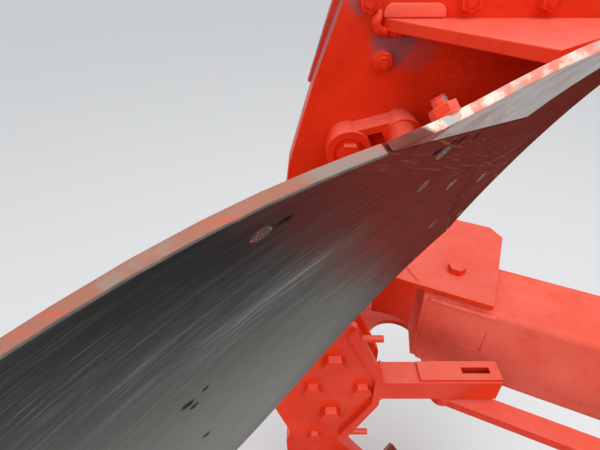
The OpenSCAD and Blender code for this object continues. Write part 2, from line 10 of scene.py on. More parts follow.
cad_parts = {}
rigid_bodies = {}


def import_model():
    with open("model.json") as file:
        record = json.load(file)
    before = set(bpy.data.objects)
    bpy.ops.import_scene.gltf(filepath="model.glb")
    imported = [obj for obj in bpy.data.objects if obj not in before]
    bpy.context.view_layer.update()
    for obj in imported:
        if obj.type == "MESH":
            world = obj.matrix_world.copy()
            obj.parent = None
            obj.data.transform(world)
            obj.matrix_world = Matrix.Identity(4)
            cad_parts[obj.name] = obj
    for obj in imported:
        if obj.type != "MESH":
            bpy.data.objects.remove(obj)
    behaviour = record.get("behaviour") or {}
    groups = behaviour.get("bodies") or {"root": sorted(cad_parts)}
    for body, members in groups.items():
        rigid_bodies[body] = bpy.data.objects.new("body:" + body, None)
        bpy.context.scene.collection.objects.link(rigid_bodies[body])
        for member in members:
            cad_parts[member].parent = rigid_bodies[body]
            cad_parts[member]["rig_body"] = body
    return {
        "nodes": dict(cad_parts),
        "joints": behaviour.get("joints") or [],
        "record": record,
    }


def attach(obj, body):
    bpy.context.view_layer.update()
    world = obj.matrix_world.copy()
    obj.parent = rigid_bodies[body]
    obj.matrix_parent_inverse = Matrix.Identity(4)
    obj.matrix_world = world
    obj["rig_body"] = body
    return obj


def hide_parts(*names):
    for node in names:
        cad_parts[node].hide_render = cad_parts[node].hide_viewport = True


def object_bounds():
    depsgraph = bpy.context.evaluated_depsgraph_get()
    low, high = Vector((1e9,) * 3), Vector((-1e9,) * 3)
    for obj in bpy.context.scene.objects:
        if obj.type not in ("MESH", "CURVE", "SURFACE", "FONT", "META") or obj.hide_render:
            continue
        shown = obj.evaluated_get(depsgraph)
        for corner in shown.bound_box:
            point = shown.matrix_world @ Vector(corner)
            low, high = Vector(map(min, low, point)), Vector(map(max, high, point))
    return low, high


bl_info = {
    "name": "Furrow unit looks",
    "version": (1, 0, 0),
    "blender": (4, 5, 0),
    "location": "3D View > Sidebar > Plough",
    "description": "Dresses a reversible plough's furrow unit with paint, worn steel, welds and fasteners",
    "category": "Object",
}

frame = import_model()
cad_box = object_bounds()


# Places from the frame: a body is measured back from its zero line, outward from the land plane, and in
# height from the cutting edge, and its leg turns on a bolt whose place in those terms is known. The leg's
# outer face is measured outward too, and the top of the bracket's plate from the beam's centre

BODIES = {"upper": 1, "lower": -1}
TRIP_PIN = next(Vector(joint["pos_m"]) for joint in frame["joints"] if joint["name"] == "upper_trip")
PIN_BACK, PIN_OUT, PIN_HIGH = -0.060, 0.027, 0.590
LEG_FACE = 0.042
PLATE_TOP = 0.118


def spot(side, back, out, high):
    """Place of a point of a body in the frame"""
    return Vector((
        TRIP_PIN.x + PIN_BACK - back,
        TRIP_PIN.y + PIN_OUT - out,
        BODIES[side] * (TRIP_PIN.z + PIN_HIGH - high)))


def row(x, y, z):
    """Place of a point ahead of the zero line, toward the land and above the beam's centre"""
    return Vector((TRIP_PIN.x + PIN_BACK + x, TRIP_PIN.y + PIN_OUT + y, z))


BEAM_AHEAD = Vector(next(m["axis"] for m in frame["record"]["mounts"] if m["name"] == "beam_flange"))
FLANGE_THICK = 0.020


def on_beam(behind, across, up):
    """Place of a point behind the beam's flange, across from its axis and above it"""
    return BEAM_AHEAD * -behind + Vector((-BEAM_AHEAD.y, BEAM_AHEAD.x, 0)) * across + Vector((0, 0, up))


BODY_PARTS = ("frog", "sole", "board_bracket", "stay")
LEGS = [f"{side}_leg" for side in BODIES]
LANDSIDES = [f"{side}_landside" for side in BODIES]
# Parts whose red is paled all over by painted sheen, a pale pink standing in for the light on them
PAINTED_SHEEN_PARTS = ["beam_tube", "beam_end_cap"]
RED_PARTS = [
    "beam_flange", "pivot_bush", "pivot_bolt",
    "bracket_top", "bracket_bottom", "bracket_web", "cheek_near", "cheek_far",
    "cheek_spacers", "clamp_bolts", "leg_bolts", "rod_arm", "rod_pin", "width_rod",
] + [f"{side}_{part}" for side in BODIES for part in BODY_PARTS]
PLAIN_STEEL = [f"{side}_{part}" for side in BODIES for part in ("point", "shear_core")]


# Sizes and colours that a user would change

def colour(name, words, value):
    return bpy.props.FloatVectorProperty(
        name=name, description=words, default=value, size=3, subtype="COLOR", min=0.0, max=1.0)


def length(name, words, value):
    return bpy.props.FloatProperty(name=name, description=words, default=value, unit="LENGTH", precision=4)


class PaintSettings(bpy.types.PropertyGroup):
    """Colours of the red paint"""
    red: colour("Red", "Body colour of the paint", (0.74, 0.038, 0.008))
    deep: colour("Deep red", "Where the paint lies thick", (0.54, 0.018, 0.004))
    # Pale pink for faces that look up: partly dust, partly painted sky sheen
    dust_and_sheen: colour("Dust and sheen red", "Where the paint lies open to the sky", (0.86, 0.165, 0.115))
    edge_pink: colour("Thin red", "Where the paint is thin on the board's edge", (0.32, 0.125, 0.080))
    # The primer grey is laid also as painted shade on the leg's rear edge
    primer_and_shade: colour("Primer and shade", "Purple grey primer where the red is thin", (0.21, 0.095, 0.11))
    soften: length("Edge rounding", "Rounding of the painted edges", 0.0012)


class SteelSettings(bpy.types.PropertyGroup):
    """Colours of the board and share steel"""
    dark: colour("Dark board", "Board steel near the cutting edge", (0.023, 0.022, 0.022))
    worn: colour("Worn board", "Board steel toward its upper edge", (0.205, 0.205, 0.190))
    sheen: colour("Scratches", "Fine bright scratches on the board", (0.42, 0.42, 0.40))
    maroon: colour("Overspray", "Red overspray on the board", (0.19, 0.031, 0.022))
    bright: colour("Share", "Bright worn share steel", (0.40, 0.39, 0.37))
    # Near white of rubbed steel, laid also as painted glints on the shares and board bolts
    polish_and_glint: colour("Polish and glint", "Steel rubbed almost white on the share's edge", (0.82, 0.63, 0.52))
    tan: colour("Rust film", "Light rust on the share and joint", (0.32, 0.14, 0.07))
    brown: colour("Brown film", "Brown film on the end of the share", (0.115, 0.017, 0.0075))
    rim: length("Rim rounding", "Rounding of the board's rim", 0.001)
    share_rim: length("Share's worn edge", "Width rubbed off the front of the share's edge", 0.0016)


class StageSettings(bpy.types.PropertyGroup):
    """Camera, floor and light"""
    lens: bpy.props.FloatProperty(
        name="Lens", description="Focal length on a 36 mm sensor", default=25.2, unit="CAMERA")
    pitch: bpy.props.FloatProperty(
        name="Pitch", description="How far the camera looks down", default=math.radians(36), subtype="ANGLE")
    place: bpy.props.FloatVectorProperty(
        name="Camera", description="Place of the camera", default=(-0.70565, -0.4735, 0.708),
        size=3, subtype="TRANSLATION", unit="LENGTH")
    floor_drop: length("Floor", "Depth of the floor under the lower point", 0.02)


# Lesser tones, which mottle the finishes, the red's gloss, and how far painted sheen pales the beam's red

SPRAY_RED = (0.82, 0.085, 0.025)
EDGE_GREY = (0.26, 0.20, 0.17)
SPRAY_WORN = (0.040, 0.012, 0.010)
STAIN_BLACK = (0.010, 0.009, 0.010)
SHARE_FILM = (0.26, 0.16, 0.12)
SHARE_LINES = (0.12, 0.085, 0.08)
WING_PINK = (0.78, 0.24, 0.18)
WING_BROWN = (0.17, 0.032, 0.016)
CORNER_DARK = (0.085, 0.072, 0.064)
CORNER_PALE = (0.150, 0.112, 0.094)
BOLT_DARK = (0.050, 0.044, 0.042)
THREAD_DARK = (0.055, 0.038, 0.034)
THREAD_PALE = (0.16, 0.12, 0.11)
SOIL_DARK = (0.010, 0.009, 0.009)
SOIL_PALE = (0.030, 0.024, 0.022)
LANDSIDE_BLACK = (0.018, 0.012, 0.014)
PAINT_GLOSS = 0.20
PAINTED_SHEEN = 0.95


# Places of the marks on a body, in the same terms as its other places: spots that the leg's paint missed,
# overspray on the leg, the bare part of the board's edge, the soil's flow up the board, a rubbed patch and a
# streak in it, overspray on the board, the joint of board and share, and the brown end of the share's wing

MISSED_SPOTS = (
    # back, high, radius, strength
    (-0.100, 0.068, 0.030, 1.0), (-0.120, 0.072, 0.030, 0.45), (-0.060, 0.026, 0.017, 0.8),
)
SPRAY_BACK, SPRAY_HIGH, SPRAY_RADIUS = -0.172, 0.080, 0.045
BARE_EDGE_OUT = 0.320
FLOW_FROM, FLOW_CURVE = 0.18, 2.0
RUBBED_OUT, RUBBED_FLOW = 0.295, 0.150
STREAK_OUT, STREAK_FLOW = 0.297, 0.1465
SPRAY_SLOPE, SPRAY_END, SPRAY_FULL = 0.8, 0.440, 0.350
JOINT_OUT, JOINT_HIGH, JOINT_AWAY = 0.5145, 0.8575, 0.206
BROWN_ON_FACE, BROWN_ON_EDGE = 0.271, 0.281
STAINS = (
    # outward, high, radius
    (0.336, 0.262, 0.0055), (0.331, 0.272, 0.0040), (0.326, 0.256, 0.0030), (0.315, 0.347, 0.0040),
    (0.229, 0.0926, 0.0045), (0.248, 0.093, 0.0045), (0.238, 0.090, 0.0035), (0.210, 0.098, 0.0035),
    (0.336, 0.089, 0.0045),
)


# Materials

class Shades:
    """Builds one material's nodes, with the scale of a noise in waves a metre"""

    def __init__(self, name):
        self.material = bpy.data.materials.new(name)
        self.material.use_nodes = True
        self.tree = self.material.node_tree
        self.shader = self.tree.nodes["Principled BSDF"]
        self.place = self.add("ShaderNodeTexCoord").outputs["Object"]

    def add(self, kind, values=None, **links):
        """A node with these values and links"""
        node = self.tree.nodes.new(kind)
        for name, value in (values or {}).items():
            if name in node.inputs:
                node.inputs[name].default_value = value
            else:
                setattr(node, name, value)
        for name, socket in links.items():
            self.tree.links.new(socket, node.inputs[name])
        return node

    def noise(self, scale, detail=4.0, rough=0.55, at=None):
        """Noise between 0 and 1, on the piece's own place unless another is given"""
        return self.add("ShaderNodeTexNoise", {"Scale": scale, "Detail": detail, "Roughness": rough},
                        Vector=at or self.place).outputs["Fac"]

    def ramp(self, value, low, high, out_low=0.0, out_high=1.0):
        """A value's soft step from one level to another"""
        node = self.add("ShaderNodeMapRange", {
            "From Min": low, "From Max": high, "To Min": out_low, "To Max": out_high,
            "interpolation_type": "SMOOTHSTEP"}, Value=value)
        return node.outputs["Result"]

    def feed(self, socket, value):
        """Gives a socket a value, or links another socket to it"""
        if isinstance(value, bpy.types.NodeSocket):
            self.tree.links.new(value, socket)
        else:
            socket.default_value = value

    def math(self, how, *values):
        """Arithmetic on numbers or sockets"""
        node = self.tree.nodes.new("ShaderNodeMath")
        node.operation = how
        for socket, value in zip(node.inputs, values):
            self.feed(socket, value)
        return node.outputs[0]

    def mix(self, factor, a, b):
        """A colour between two, which are colours or sockets"""
        node = self.tree.nodes.new("ShaderNodeMix")
        node.data_type = "RGBA"
        self.feed(node.inputs["Factor"], factor)
        for name, value in (("A", a), ("B", b)):
            socket = next(s for s in node.inputs if s.name == name and s.type == "RGBA")
            self.feed(socket, value if isinstance(value, bpy.types.NodeSocket) else (*value, 1))
        return next(s for s in node.outputs if s.type == "RGBA")

    def split(self):
        """The three parts of the place"""
        node = self.add("ShaderNodeSeparateXYZ", Vector=self.place)
        return node.outputs[0], node.outputs[1], node.outputs[2]

    def join(self, x, y, z):
        """A place made of three numbers or sockets"""
        node = self.tree.nodes.new("ShaderNodeCombineXYZ")
        for socket, value in zip(node.inputs, (x, y, z)):
            self.feed(socket, value)
        return node.outputs[0]

    def body_place(self):
        """How far back, out and up a point of either body lies"""
        x, y, z = self.split()
        return (self.math("SUBTRACT", TRIP_PIN.x + PIN_BACK, x),
                self.math("SUBTRACT", TRIP_PIN.y + PIN_OUT, y),
                self.math("SUBTRACT", TRIP_PIN.z + PIN_HIGH, self.math("ABSOLUTE", z)))

    def facing(self, x, y, z):
        """How far the surface looks along a direction, from -1 to 1"""
        node = self.add("ShaderNodeVectorMath", {"operation": "DOT_PRODUCT"})
        self.tree.links.new(self.add("ShaderNodeTexCoord").outputs["Normal"], node.inputs[0])
        node.inputs[1].default_value = (x, y, z)
        return node.outputs["Value"]

    def away(self, here, centre):
        """How far a place is from a centre"""
        node = self.add("ShaderNodeVectorMath", {"operation": "DISTANCE"})
        self.tree.links.new(here, node.inputs[0])
        node.inputs[1].default_value = centre
        return node.outputs["Value"]

    def wobble(self, scale, reach):
        """Noise that strays this far to either side of 0"""
        return self.math("MULTIPLY", self.math("SUBTRACT", self.noise(scale), 0.5), 2 * reach)

    def blot(self, out, high, radius):
        """1 at a spot of the board's face, falling to 0 at this radius with a ragged edge"""
        _, here_out, here_high = self.body_place()
        away = self.away(self.join(here_out, here_high, 0.0), (out, high, 0.0))
        wobble = self.wobble(1.1 / radius, 0.4 * radius)
        return self.ramp(self.math("ADD", away, wobble), radius, 0.45 * radius)

    def band(self, value, middle, half, soft):
        """1 where a value is within half a width of a middle, softly falling to 0"""
        off = self.math("ABSOLUTE", self.math("SUBTRACT", value, middle))
        return self.ramp(off, half + soft, half)

    def times(self, *values):
        """The product of values"""
        product = values[0]
        for value in values[1:]:
            product = self.math("MULTIPLY", product, value)
        return product

    def most(self, *values):
        """The greatest of values"""
        top = values[0]
        for value in values[1:]:
            top = self.math("MAXIMUM", top, value)
        return top

    def near(self, centre, radius):
        """1 at a place on both bodies, falling to 0 at this radius with a ragged edge"""
        x, y, z = self.split()
        away = self.away(self.join(x, y, self.math("ABSOLUTE", z)), (centre.x, centre.y, abs(centre.z)))
        wobble = self.wobble(1.5 / radius, 0.3 * radius)
        return self.ramp(self.math("ADD", away, wobble), radius, 0.55 * radius)

    def bump(self, height, strength, distance):
        """Roughens the surface by a height"""
        node = self.add("ShaderNodeBump", {"Strength": strength, "Distance": distance}, Height=height)
        self.tree.links.new(node.outputs[0], self.shader.inputs["Normal"])

    def finish(self, tone, rough, metallic=0.0, gloss=0.5):
        """Gives the shader its colour, roughness, metal and gloss, and returns the material"""
        for name, value in (
                ("Base Color", tone), ("Roughness", rough),
                ("Metallic", metallic), ("Specular IOR Level", gloss)):
            self.feed(self.shader.inputs[name], value)
        return self.material


def red_tone(s, paint, painted_sheen=0.0):
    """Colour of the red: deep where thick; paled by dust and painted sheen toward the sky, and all over as
    asked
    """
    thick = s.ramp(s.noise(9.0), 0.36, 0.66, 0.0, 0.6)
    x, y, z = s.split()
    strokes = s.join(s.times(x, 9.0), s.times(y, 150.0), s.times(z, 30.0))
    thick = s.most(thick, s.ramp(s.noise(1.0, 4.0, 0.6, strokes), 0.52, 0.72, 0.0, 0.55))
    mottled = s.ramp(s.noise(70.0), 0.35, 0.7, 0.0, 0.4)
    tone = s.mix(thick, paint.red, paint.deep)
    tone = s.mix(mottled, tone, paint.red)
    # Painted sheen: faces that look up are paled toward the pale pink, which is partly dust
    open_sky = s.ramp(s.facing(0, 0, 1), 0.45, 0.95, painted_sheen, max(painted_sheen, 0.78))
    patchy = s.times(
        s.ramp(s.noise(6.0), 0.3, 0.7, 0.60, 1.0),
        s.ramp(s.noise(38.0, 5.0, 0.65), 0.34, 0.50, 0.82, 1.0))
    return s.mix(s.times(open_sky, patchy), tone, paint.dust_and_sheen)


def paint_film(s, tone, gloss=PAINT_GLOSS):
    """Gloss and brush marks of the red over a colour"""
    rough = s.ramp(s.noise(35.0), 0.3, 0.7, 0.28, 0.44)
    s.bump(s.math("ADD", s.noise(140.0, 3.0), s.times(s.noise(22.0), 1.6)), 0.35, 0.0006)
    return s.finish(tone, rough, gloss=gloss)


def red_paint(paint, painted_sheen=0.0):
    """Red paint, brushed and sprayed unevenly over steel, and paled by painted sheen and matte where asked"""
    s = Shades("faded red paint" if painted_sheen else "red paint")
    return paint_film(s, red_tone(s, paint, painted_sheen), 0.0 if painted_sheen else PAINT_GLOSS)


def leg_paint(paint):
    """Red paint that missed the corners under the sole, with painted shade in primer grey on the leg's rear
    edge
    """
    s = Shades("leg paint")
    missed_and_shaded = s.most(*(
        s.times(s.near(spot("upper", back, LEG_FACE, high), radius), strength)
        for back, high, radius, strength in MISSED_SPOTS))
    _, _, high = s.body_place()
    # Painted shade: primer grey on the leg's rear edge near the sole
    edge = s.times(s.ramp(s.facing(-1, 0, 0), 0.5, 0.8), s.ramp(high, 0.13, 0.09))
    missed_and_shaded = s.most(missed_and_shaded, s.times(edge, s.ramp(s.noise(30.0), 0.30, 0.50)))
    cloudy = s.ramp(s.noise(160.0, 5.0, 0.65), 0.25, 0.6, 0.65, 1.0)
    tone = s.mix(s.times(missed_and_shaded, cloudy, 0.9), red_tone(s, paint), paint.primer_and_shade)
    specks = s.ramp(s.noise(300.0, 6.0, 0.7), 0.52, 0.62)
    sprayed = s.near(spot("upper", SPRAY_BACK, LEG_FACE, SPRAY_HIGH), SPRAY_RADIUS)
    return paint_film(s, s.mix(s.times(sprayed, specks, 0.7), tone, SPRAY_RED))


def edge_paint(paint):
    """Thin red on the board's edge, rubbed to pink, orange and bare grey"""
    s = Shades("rubbed edge paint")
    back, out, high = s.body_place()
    along = s.join(s.times(out, 30.0), s.times(high, 120.0), back)
    orange = s.ramp(s.noise(1.0, 5.0, 0.6, along), 0.50, 0.66, 0.0, 0.7)
    tone = s.mix(orange, paint.edge_pink, paint.red)
    rubbed = s.ramp(s.noise(26.0, 6.0, 0.65), 0.58, 0.68, 0.0, 0.8)
    bare = s.most(s.band(out, BARE_EDGE_OUT, 0.012, 0.012), rubbed)
    tone = s.mix(s.times(bare, 0.85), tone, EDGE_GREY)
    s.bump(s.noise(260.0), 0.3, 0.0004)
    return s.finish(tone, s.ramp(s.noise(50.0), 0.3, 0.7, 0.38, 0.6), gloss=0.3)


def board_steel(steel):
    """Board steel that pales toward its upper edge, scratched along the soil's flow, with red overspray"""
    s = Shades("board steel")
    _, out, high = s.body_place()
    climb = s.math("MAXIMUM", s.math("SUBTRACT", out, FLOW_FROM), 0.0)
    flow = s.math("SUBTRACT", high, s.times(climb, climb, FLOW_CURVE))

    def lanes(along, across, seed, detail=4.0):
        """Noise drawn out along the flow"""
        return s.noise(1.0, detail, 0.6, s.join(s.times(out, along), s.times(flow, across), seed))

    pale = s.times(
        s.ramp(s.math("ADD", high, s.wobble(7.0, 0.025)), 0.05, 0.40),
        s.ramp(out, 0.04, 0.26, 0.35, 1.0))
    tone = s.mix(pale, steel.dark, steel.worn)

    scuffed = s.times(s.ramp(s.noise(9.0, 3.0), 0.40, 0.62, 0.35, 1.0), s.ramp(high, 0.075, 0.18, 0.30, 1.0))
    soft = s.ramp(lanes(9.0, 110.0, 5.0), 0.46, 0.74, 0.0, 0.20)
    scratches = s.ramp(lanes(26.0, 640.0, 0.0), 0.56, 0.72, 0.0, 0.50)
    hairs = s.ramp(lanes(48.0, 1500.0, 3.0, 3.0), 0.55, 0.74, 0.0, 0.42)
    rubbed = s.times(
        s.band(flow, RUBBED_FLOW, 0.004, 0.030), s.band(out, RUBBED_OUT, 0.020, 0.045),
        s.ramp(lanes(30.0, 900.0, 7.0), 0.47, 0.66, 0.0, 0.55))
    streak = s.times(
        s.band(flow, STREAK_FLOW, 0.0004, 0.0022), s.band(out, STREAK_OUT, 0.014, 0.024),
        s.ramp(lanes(34.0, 800.0, 8.0), 0.38, 0.62, 0.15, 0.8))
    marks = s.most(s.times(s.most(soft, scratches, hairs), scuffed), rubbed, streak)
    tone = s.mix(marks, tone, steel.sheen)

    spread = s.math("ADD", s.math("ADD", out, s.times(high, SPRAY_SLOPE)), s.wobble(6.0, 0.035))
    spray = s.times(
        s.ramp(spread, SPRAY_END, SPRAY_FULL),
        s.ramp(s.noise(650.0, 4.0, 0.6), 0.30, 0.60, 0.80, 0.97),
        s.math("SUBTRACT", 1.0, s.times(marks, 0.55)))
    tone = s.mix(spray, tone, steel.maroon)
    worn_through = s.times(spray, s.ramp(lanes(16.0, 420.0, 4.0), 0.50, 0.66, 0.0, 0.60))
    tone = s.mix(worn_through, tone, SPRAY_WORN)

    joint = s.math("ADD", s.times(out, JOINT_OUT), s.times(high, JOINT_HIGH))
    along = s.math("SUBTRACT", s.times(out, JOINT_HIGH), s.times(high, JOINT_OUT))
    rusty = s.noise(1.0, 5.0, 0.65, s.join(s.times(along, 22.0), s.times(joint, 420.0), 1.0))
    rusty = s.times(s.ramp(rusty, 0.52, 0.68), s.band(joint, JOINT_AWAY, 0.010, 0.010), 0.55)
    tone = s.mix(rusty, tone, steel.tan)

    stains = s.most(*(s.blot(*stain) for stain in STAINS))
    tone = s.mix(s.times(stains, 0.85), tone, STAIN_BLACK)
    rough = s.math("SUBTRACT", s.ramp(s.noise(16.0), 0.3, 0.7, 0.40, 0.52), s.times(marks, 0.12))
    s.bump(s.math("ADD", s.most(scratches, hairs), s.times(s.noise(420.0), 0.35)), 0.3, 0.0003)
    return s.finish(tone, rough, s.times(marks, 0.4), gloss=0.0)


def share_steel(steel):
    """Bright share steel with a light rust film, polish and painted glint in places, and brown on the wing's
    end
    """
    s = Shades("share steel")
    _, out, high = s.body_place()
    film = s.ramp(s.noise(26.0, 6.0, 0.65), 0.46, 0.66, 0.0, 0.75)
    tone = s.mix(film, steel.bright, SHARE_FILM)
    # Near white patches, partly polish and partly painted glint
    rubbed = s.ramp(s.noise(60.0, 5.0, 0.6), 0.56, 0.70, 0.0, 0.6)
    tone = s.mix(rubbed, tone, steel.polish_and_glint)
    lines = s.noise(1.0, 4.0, 0.6, s.join(s.times(out, 14.0), s.times(high, 500.0), 2.0))
    tone = s.mix(s.ramp(lines, 0.54, 0.70, 0.0, 0.5), tone, SHARE_LINES)
    tone = s.mix(s.times(wing_end(s, out, BROWN_ON_FACE), 0.92), tone, wing_brown(s, steel))
    s.bump(s.noise(220.0, 5.0), 0.3, 0.0004)
    return s.finish(tone, s.ramp(s.noise(30.0), 0.3, 0.7, 0.32, 0.5), 0.35)


def wing_end(s, out, start):
    """1 on the end of the share's wing, further out than its start"""
    return s.ramp(s.math("ADD", out, s.wobble(90.0, 0.005)), start, start + 0.005)


def wing_brown(s, steel):
    """Brown film on the end of the share's wing"""
    return s.mix(s.ramp(s.noise(55.0, 5.0), 0.4, 0.65), steel.brown, WING_BROWN)


def wing_steel(steel):
    """Edge of the share: brown on its wing's end, elsewhere polish and painted glint over red paled by
    painted sheen
    """
    s = Shades("share edge")
    _, out, _ = s.body_place()
    # Painted highlight: near white glint and pink sheen over rubbed steel and thin red
    patches = s.ramp(s.noise(75.0, 5.0, 0.6), 0.44, 0.60)
    tone = s.mix(patches, steel.polish_and_glint, WING_PINK)
    grey = s.ramp(s.noise(48.0, 5.0, 0.6), 0.58, 0.68)
    tone = s.mix(grey, tone, steel.bright)
    tone = s.mix(wing_end(s, out, BROWN_ON_EDGE), tone, wing_brown(s, steel))
    s.bump(s.noise(220.0, 4.0), 0.25, 0.0003)
    return s.finish(tone, s.ramp(s.noise(40.0), 0.3, 0.7, 0.40, 0.55), gloss=0.25)


def corner_steel():
    """Rubbed corner between a board's face and its edge, and rim of a board bolt"""
    s = Shades("rubbed corner")
    tone = s.mix(s.ramp(s.noise(60.0, 5.0, 0.65), 0.38, 0.66), CORNER_DARK, CORNER_PALE)
    s.bump(s.noise(300.0), 0.3, 0.0003)
    return s.finish(tone, s.ramp(s.noise(60.0), 0.3, 0.7, 0.36, 0.52), 0.1, gloss=0.2)


def bolt_face(steel, paint):
    """Worn face of a board bolt with a little red left on it, and painted glints"""
    s = Shades("bolt face")
    tone = s.mix(s.ramp(s.noise(330.0, 3.0), 0.56, 0.64, 0.0, 0.7), BOLT_DARK, paint.red)
    # Painted glints
    glint = s.ramp(s.noise(520.0, 3.0), 0.58, 0.68)
    tone = s.mix(s.times(glint, 0.6), tone, steel.polish_and_glint)
    s.bump(s.noise(400.0), 0.35, 0.0003)
    return s.finish(tone, 0.42, gloss=0.1)


def sprayed_thread(paint):
    """Dark thread, red on the side that the spray reached"""
    s = Shades("sprayed thread")
    reached = s.ramp(s.math("ADD", s.facing(-0.95, -0.3, 0), s.times(s.noise(200.0), 0.4)), 0.10, 0.50)
    dark = s.mix(s.noise(300.0), THREAD_DARK, THREAD_PALE)
    s.bump(s.noise(500.0), 0.2, 0.0002)
    return s.finish(s.mix(reached, dark, paint.red), 0.38, 0.1)


def packed_soil():
    """Dark soil packed round the board's bolts"""
    s = Shades("packed soil")
    tone = s.mix(s.noise(400.0, 5.0, 0.65), SOIL_DARK, SOIL_PALE)
    s.bump(s.noise(500.0), 0.4, 0.0003)
    return s.finish(tone, 0.75)


def bare_steel(steel):
    """Plain worn steel of the points and the shear bolts' cores"""
    s = Shades("bare steel")
    film = s.ramp(s.noise(25.0, 6.0, 0.65), 0.45, 0.75)
    tone = s.mix(film, steel.bright, steel.tan)
    s.bump(s.noise(180.0, 5.0), 0.3, 0.0004)
    return s.finish(tone, s.ramp(s.noise(30.0), 0.3, 0.7, 0.32, 0.5), 0.6)


def landside_paint(paint, steel):
    """Red landside with a blackened rear end, rubbed to steel where it slides along the furrow wall"""
    s = Shades("landside paint")
    _, y, _ = s.split()
    slid = s.ramp(y, spot("upper", 0, 0.001, 0).y, spot("upper", 0, 0.0004, 0).y)
    patches = s.ramp(s.noise(24.0, 6.0, 0.65), 0.30, 0.48)
    tone = s.mix(s.times(slid, patches), red_tone(s, paint), steel.bright)
    black = s.times(s.ramp(s.facing(-1, 0, 0), 0.5, 0.8), s.ramp(s.noise(60.0, 5.0), 0.32, 0.48))
    tone = s.mix(black, tone, LANDSIDE_BLACK)
    s.bump(s.noise(120.0), 0.3, 0.0005)
    return s.finish(tone, s.ramp(s.noise(30.0), 0.3, 0.7, 0.32, 0.5))


# The mixed materials by name

FINISHES = {}


# Modelling helpers

MERGE_AT = 1e-5
SMOOTH_TURN = math.radians(35)


def deselect():
    if bpy.context.object and bpy.context.object.mode != "OBJECT":
        bpy.ops.object.mode_set(mode="OBJECT")
    bpy.ops.object.select_all(action="DESELECT")


def take_up(piece):
    """Makes a piece the only selected and active one"""
    deselect()
    piece.select_set(True)
    bpy.context.view_layer.objects.active = piece


def body_of(node):
    return frame["nodes"][node]["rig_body"]


def keep(piece, name, body, finish=None):
    """Names a finished piece, gives it its finish unless it has its own, and lets it ride on its body"""
    piece.name = name
    piece.data.name = name
    if finish:
        piece.data.materials.clear()
        piece.data.materials.append(FINISHES[finish])
    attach(piece, body)


def copy_to(piece, place, aim, turn=0.0, size=1.0):
    """A copy of a piece with its own mesh, standing at a place and aimed along a direction"""
    twin = piece.copy()
    twin.data = piece.data.copy()
    bpy.context.scene.collection.objects.link(twin)
    standing = Vector(aim).to_track_quat("Z", "Y").to_matrix().to_4x4() @ Matrix.Rotation(turn, 4, "Z")
    twin.data.transform(Matrix.Translation(place) @ standing @ Matrix.Scale(size, 4))
    return twin


# Boards, shins and shares: smooth copies of their solids with rounded rims. Their fronts look forward and
# outward, and past the end of the share's wing the board's edge lies bare

FORWARD_OUT = Vector((0.67, -0.74, 0.0))
WING_OUT = 0.3065
FRONT, BACK, RIM, SEAM, CORNER = range(5)
FLAT_TURN = math.radians(38)
RIM_TURN = math.radians(50)


def face_toward(mesh, middle, direction):
    """The face nearest the middle of the shell that looks along a direction"""
    looking = [f for f in mesh.faces if f.normal.dot(direction) > 0.25]
    return min(looking, key=lambda f: (f.calc_center_median() - middle).length)


